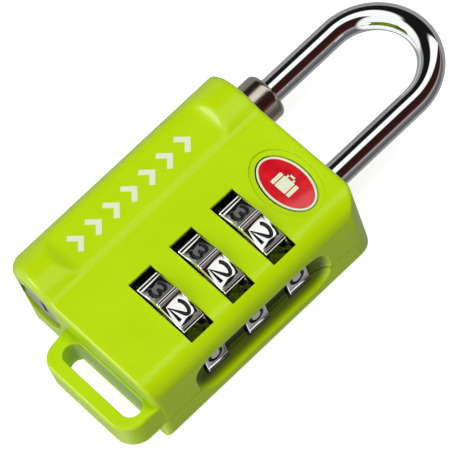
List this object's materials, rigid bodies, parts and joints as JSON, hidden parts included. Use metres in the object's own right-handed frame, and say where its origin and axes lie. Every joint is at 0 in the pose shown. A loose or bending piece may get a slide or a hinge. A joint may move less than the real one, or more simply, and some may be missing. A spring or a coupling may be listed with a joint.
{
  "type": "combination luggage lock",
  "caption": "Small travel lock with a sprung wire shackle, number dials in a case split along its back, a key override that draws in a collar, and a strap loop.",
  "frame": {"origin": "centre of the flat back of the case", "axes": "+X across the width towards the dials' side, +Y along the length towards the shackle, +Z out of the front"},
  "size_m": [0.0322, 0.0732, 0.016],
  "materials": {
    "lime_paint": "smooth semi-gloss lime green coat",
    "chrome": "mirror bright",
    "nickel": "warm nickel, slightly dull",
    "spring_steel": "plain",
    "brass": "machined",
    "zinc": "satin cast",
    "red_enamel": "gloss enamel"
  },
  "bodies": {
    "case": {"front_shell": "lime_paint", "rear_shell": "lime_paint", "badge_inlay": "red_enamel", "drive_pin_1": "spring_steel", "drive_pin_2": "spring_steel", "drive_pin_3": "spring_steel", "drive_pin_4": "spring_steel", "detent_spring": "spring_steel", "key_barrel": "brass"},
    "bow": {"shackle": "chrome", "spring_seat_ring": "spring_steel", "lift_spring": "spring_steel"},
    "key_core": {"key_plug": "zinc", "plug_clip": "spring_steel", "cam_drum": "brass"},
    "latch": {"collar": "nickel", "latch_carriage": "zinc", "cam_follower_pin": "spring_steel", "collar_spring": "spring_steel"},
    "number_wheel_1": {"dial_1": "chrome", "clutch_sleeve_1": "brass"},
    "number_wheel_2": {"dial_2": "chrome", "clutch_sleeve_2": "brass"},
    "number_wheel_3": {"dial_3": "chrome", "clutch_sleeve_3": "brass"},
    "wafer_1_plate": {"wafer_1": "brass"},
    "wafer_2_plate": {"wafer_2": "brass"},
    "wafer_3_plate": {"wafer_3": "brass"},
    "wafer_4_plate": {"wafer_4": "brass"}
  },
  "joints": [
    {"name": "dial_1_spin", "type": "hinge", "parent": "case", "child": "number_wheel_1", "pos_m": [0.00788, -0.00871, 0.0081], "axis": [0, 1, 0], "continuous": true},
    {"name": "dial_2_spin", "type": "hinge", "parent": "case", "child": "number_wheel_2", "pos_m": [0.00788, -0.0009, 0.0081], "axis": [0, 1, 0], "continuous": true},
    {"name": "dial_3_spin", "type": "hinge", "parent": "case", "child": "number_wheel_3", "pos_m": [0.00788, 0.00691, 0.0081], "axis": [0, 1, 0], "continuous": true},
    {"name": "shackle_lift", "type": "slide", "parent": "case", "child": "bow", "axis": [0, 1, 0], "range_m": [0, 0.0049], "deforming": ["lift_spring"]},
    {"name": "key_turn", "type": "hinge", "parent": "case", "child": "key_core", "pos_m": [-0.00887, 0, 0.0081], "axis": [0, 1, 0], "range_deg": [0, 90]},
    {"name": "collar_retract", "type": "slide", "parent": "case", "child": "latch", "axis": [0, -1, 0], "range_m": [0, 0.0043], "deforming": ["collar_spring"]},
    {"name": "wafer_1_drop", "type": "slide", "parent": "key_core", "child": "wafer_1_plate", "axis": [0, 0, -1], "range_m": [0, 0.0007]},
    {"name": "wafer_2_drop", "type": "slide", "parent": "key_core", "child": "wafer_2_plate", "axis": [0, 0, -1], "range_m": [0, 0.0007]},
    {"name": "wafer_3_drop", "type": "slide", "parent": "key_core", "child": "wafer_3_plate", "axis": [0, 0, -1], "range_m": [0, 0.0007]},
    {"name": "wafer_4_drop", "type": "slide", "parent": "key_core", "child": "wafer_4_plate", "axis": [0, 0, -1], "range_m": [0, 0.0007]}
  ],
  "couplings": [
    {"joint": "collar_retract", "follows": "key_turn", "m_per_rad": 0.002737}
  ]
}
